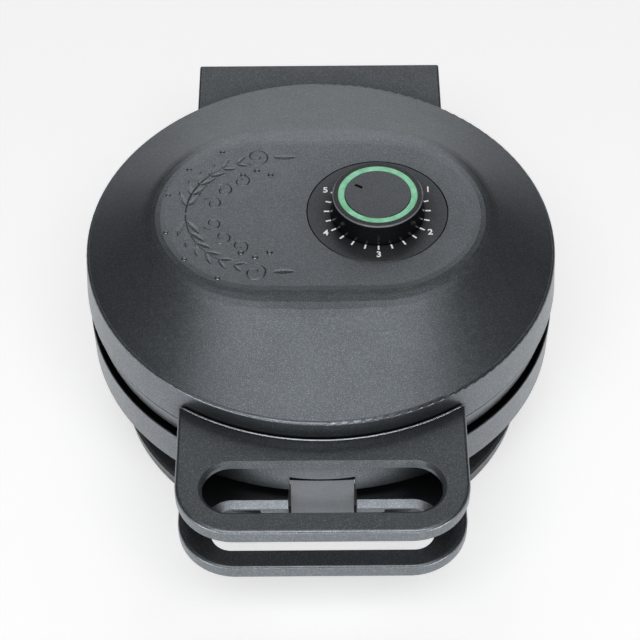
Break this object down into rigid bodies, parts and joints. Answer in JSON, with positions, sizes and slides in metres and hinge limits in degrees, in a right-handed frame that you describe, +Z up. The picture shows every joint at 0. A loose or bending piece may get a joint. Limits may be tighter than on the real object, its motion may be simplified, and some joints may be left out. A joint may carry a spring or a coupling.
{
  "type": "electric krumkake iron",
  "caption": "Round electric iron for thin rolled wafers: base and hinged domed lid with engraved plates, loop handles, front latch and dial on top.",
  "frame": {"origin": "on the vertical axis of the round body, at the surface it stands on", "axes": "+X to the right seen from the handles, +Y from the handles to the hinge, +Z up"},
  "size_m": [0.2386, 0.3223, 0.139],
  "materials": {
    "housing": "fine speckled moulded dark grey",
    "bracket": "plain moulded",
    "soft_foot": "soft light grey",
    "gland": "soft black",
    "terminal_block": null,
    "regulator": "moulded brown",
    "latch": "satin grey",
    "scale_plate": "satin black with white scale",
    "knob": "gloss black",
    "knob_cap": "satin dark grey",
    "light_ring": "translucent green",
    "lamps": "clear lens",
    "circuit_board": "lacquered laminate",
    "cast_plate": "non-stick coated casting",
    "heater": "drawn tube, heat tinted",
    "shield": "pressed bright sheet",
    "leads": "silicone sleeve",
    "fuse": "drawn can",
    "steel": "zinc plated"
  },
  "bodies": {
    "base": {"anti_slip_ring": "soft_foot", "base_stand": "housing", "bottom_cover": "housing", "base_screws": "steel", "base_shell": "housing", "lower_plate": "cast_plate", "lower_element": "heater", "lower_shield": "shield", "lower_plate_screws": "steel", "terminal_block": "terminal_block", "cord_gland": "gland", "base_leads": "leads", "lower_handle": "housing", "lower_handle_screws": "steel", "latch_keeper": "steel", "keeper_screws": "steel", "hinge_bracket": "bracket", "bracket_screws": "steel", "hinge_pin": "steel"},
    "lid": {"lid_ring": "housing", "lid_shell": "housing", "lid_screws": "steel", "upper_plate": "cast_plate", "plate_clips": "steel", "clip_screws": "steel", "upper_element": "heater", "upper_shield": "shield", "shield_screws": "steel", "thermostat": "regulator", "thermostat_screws": "steel", "light_board": "circuit_board", "board_leds": "lamps", "thermal_fuse": "fuse", "lid_leads": "leads", "dial_plate": "scale_plate", "upper_handle": "housing", "upper_handle_screws": "steel", "latch_pin": "steel", "hinge_hood": "housing", "hood_screws": "steel"},
    "dial": {"dial_knob": "knob", "knob_light_ring": "light_ring", "knob_cap": "knob_cap", "thermostat_shaft": "steel"},
    "latch": {"latch": "latch"}
  },
  "joints": [
    {"name": "lid_hinge", "type": "hinge", "parent": "base", "child": "lid", "pos_m": [0, 0.1335, 0.0795], "axis": [-1, 0, 0], "range_deg": [0, 100]},
    {"name": "dial_turn", "type": "hinge", "parent": "lid", "child": "dial", "pos_m": [0.0283, 0.0008, 0.13], "axis": [0, 0, 1], "range_deg": [0, 240]},
    {"name": "latch_pivot", "type": "hinge", "parent": "lid", "child": "latch", "pos_m": [0, -0.1276, 0.076], "axis": [1, 0, 0], "range_deg": [-20, 5]}
  ]
}
